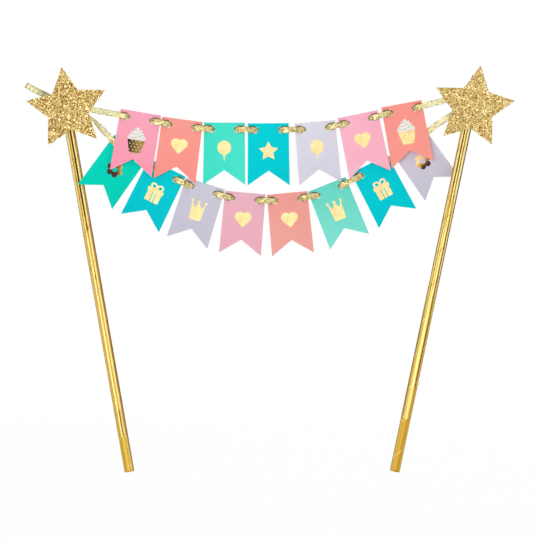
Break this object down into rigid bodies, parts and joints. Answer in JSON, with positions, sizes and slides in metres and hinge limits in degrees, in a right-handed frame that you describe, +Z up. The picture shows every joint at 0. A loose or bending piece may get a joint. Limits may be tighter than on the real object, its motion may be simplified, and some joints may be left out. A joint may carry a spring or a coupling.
{
  "type": "cake topper",
  "caption": "Pennant banner cake topper: two ribbon strands of swinging swallowtail cards hung between star-topped foil sticks that push into a cake.",
  "frame": {"origin": "on the level of the stick feet, under the middle of the topper's box, ribbons left out", "axes": "+X to the viewer's right along the strands, +Y away from the viewer, +Z up"},
  "size_m": [0.245, 0.012, 0.2035],
  "materials": {
    "stick_paper": "tightly rolled white paper",
    "stick_foil": "shiny gold foil paper with lengthwise pleats",
    "gold_glitter_card": "gold glitter on card",
    "clear_glue": "set hot glue, slightly cloudy",
    "metallic_ribbon": "pale gold woven metallic ribbon with dark flecked edges",
    "gold_foil_print": "pale gold hot-stamped foil",
    "white_print": "white print",
    "card_pink": "smooth matt dyed card",
    "card_coral": "smooth matt dyed card",
    "card_mint": "smooth matt dyed card",
    "card_teal": "smooth matt dyed card",
    "card_lavender": "smooth matt dyed card",
    "card_sea_green": "smooth matt dyed card"
  },
  "bodies": {
    "stick_frame": {"left_stick_core": "stick_paper", "left_stick_foil_wrap": "stick_foil", "left_star": "gold_glitter_card", "left_star_glue": "clear_glue", "right_stick_core": "stick_paper", "right_stick_foil_wrap": "stick_foil", "right_star": "gold_glitter_card", "right_star_glue": "clear_glue", "upper_ribbon": "metallic_ribbon", "lower_ribbon": "metallic_ribbon"},
    "upper_flag_1": {"upper_pennant_1": "card_pink", "upper_cupcake_wrapper_1": "gold_foil_print", "upper_cupcake_icing_1": "white_print"},
    "upper_flag_2": {"upper_pennant_2": "card_coral", "upper_foil_heart_2": "gold_foil_print"},
    "upper_flag_3": {"upper_pennant_3": "card_mint", "upper_foil_balloon_3": "gold_foil_print"},
    "upper_flag_4": {"upper_pennant_4": "card_teal", "upper_foil_star_4": "gold_foil_print"},
    "upper_flag_5": {"upper_pennant_5": "card_lavender", "upper_foil_balloon_5": "gold_foil_print"},
    "upper_flag_6": {"upper_pennant_6": "card_pink", "upper_foil_heart_6": "gold_foil_print"},
    "upper_flag_7": {"upper_pennant_7": "card_coral", "upper_cupcake_wrapper_7": "gold_foil_print", "upper_cupcake_icing_7": "white_print"},
    "lower_flag_1": {"lower_pennant_1": "card_sea_green", "lower_foil_flower_1": "gold_foil_print"},
    "lower_flag_2": {"lower_pennant_2": "card_teal", "lower_foil_gift_2": "gold_foil_print"},
    "lower_flag_3": {"lower_pennant_3": "card_lavender", "lower_foil_crown_3": "gold_foil_print"},
    "lower_flag_4": {"lower_pennant_4": "card_pink", "lower_foil_heart_4": "gold_foil_print"},
    "lower_flag_5": {"lower_pennant_5": "card_coral", "lower_foil_heart_5": "gold_foil_print"},
    "lower_flag_6": {"lower_pennant_6": "card_mint", "lower_foil_crown_6": "gold_foil_print"},
    "lower_flag_7": {"lower_pennant_7": "card_teal", "lower_foil_gift_7": "gold_foil_print"},
    "lower_flag_8": {"lower_pennant_8": "card_lavender", "lower_foil_flower_8": "gold_foil_print"}
  },
  "joints": [
    {"name": "upper_flag_1_swing", "type": "hinge", "parent": "stick_frame", "child": "upper_flag_1", "pos_m": [-0.06514, -0.00432, 0.17677], "axis": [0.9863, 0, -0.165], "range_deg": [-20, 0]},
    {"name": "upper_flag_2_swing", "type": "hinge", "parent": "stick_frame", "child": "upper_flag_2", "pos_m": [-0.04434, -0.0038, 0.17319], "axis": [0.9917, 0, -0.1288], "range_deg": [-20, 0]},
    {"name": "upper_flag_3_swing", "type": "hinge", "parent": "stick_frame", "child": "upper_flag_3", "pos_m": [-0.02302, -0.00328, 0.17162], "axis": [1, 0, -0.0052], "range_deg": [-20, 0]},
    {"name": "upper_flag_4_swing", "type": "hinge", "parent": "stick_frame", "child": "upper_flag_4", "pos_m": [-0.00114, -0.00275, 0.17133], "axis": [1, 0, 0.007], "range_deg": [-20, 20]},
    {"name": "upper_flag_5_swing", "type": "hinge", "parent": "stick_frame", "child": "upper_flag_5", "pos_m": [0.02242, -0.00222, 0.17209], "axis": [0.9962, 0, 0.0872], "range_deg": [-20, 0]},
    {"name": "upper_flag_6_swing", "type": "hinge", "parent": "stick_frame", "child": "upper_flag_6", "pos_m": [0.04413, -0.0017, 0.17604], "axis": [0.9796, 0, 0.2011], "range_deg": [-20, 0]},
    {"name": "upper_flag_7_swing", "type": "hinge", "parent": "stick_frame", "child": "upper_flag_7", "pos_m": [0.06597, -0.00118, 0.18126], "axis": [0.9829, 0, 0.184], "range_deg": [-20, 0]},
    {"name": "lower_flag_1_swing", "type": "hinge", "parent": "stick_frame", "child": "lower_flag_1", "pos_m": [-0.07161, -0.00162, 0.16042], "axis": [0.8121, 0, -0.5835], "range_deg": [-9, 0]},
    {"name": "lower_flag_2_swing", "type": "hinge", "parent": "stick_frame", "child": "lower_flag_2", "pos_m": [-0.05313, -0.00076, 0.14968], "axis": [0.8965, 0, -0.4431], "range_deg": [-20, 20]},
    {"name": "lower_flag_3_swing", "type": "hinge", "parent": "stick_frame", "child": "lower_flag_3", "pos_m": [-0.03358, 0.0001, 0.14155], "axis": [0.9548, 0, -0.2974], "range_deg": [-20, 20]},
    {"name": "lower_flag_4_swing", "type": "hinge", "parent": "stick_frame", "child": "lower_flag_4", "pos_m": [-0.01297, 0.00097, 0.1369], "axis": [0.9962, 0, -0.0872], "range_deg": [-20, 20]},
    {"name": "lower_flag_5_swing", "type": "hinge", "parent": "stick_frame", "child": "lower_flag_5", "pos_m": [0.0086, 0.00183, 0.13675], "axis": [0.9954, 0, 0.0958], "range_deg": [-20, 20]},
    {"name": "lower_flag_6_swing", "type": "hinge", "parent": "stick_frame", "child": "lower_flag_6", "pos_m": [0.02942, 0.0027, 0.14135], "axis": [0.9285, 0, 0.3714], "range_deg": [-20, 20]},
    {"name": "lower_flag_7_swing", "type": "hinge", "parent": "stick_frame", "child": "lower_flag_7", "pos_m": [0.05105, 0.00356, 0.15185], "axis": [0.8854, 0, 0.4648], "range_deg": [-20, 20]},
    {"name": "lower_flag_8_swing", "type": "hinge", "parent": "stick_frame", "child": "lower_flag_8", "pos_m": [0.07037, 0.00443, 0.16488], "axis": [0.8161, 0, 0.5779], "range_deg": [0, 20]}
  ]
}
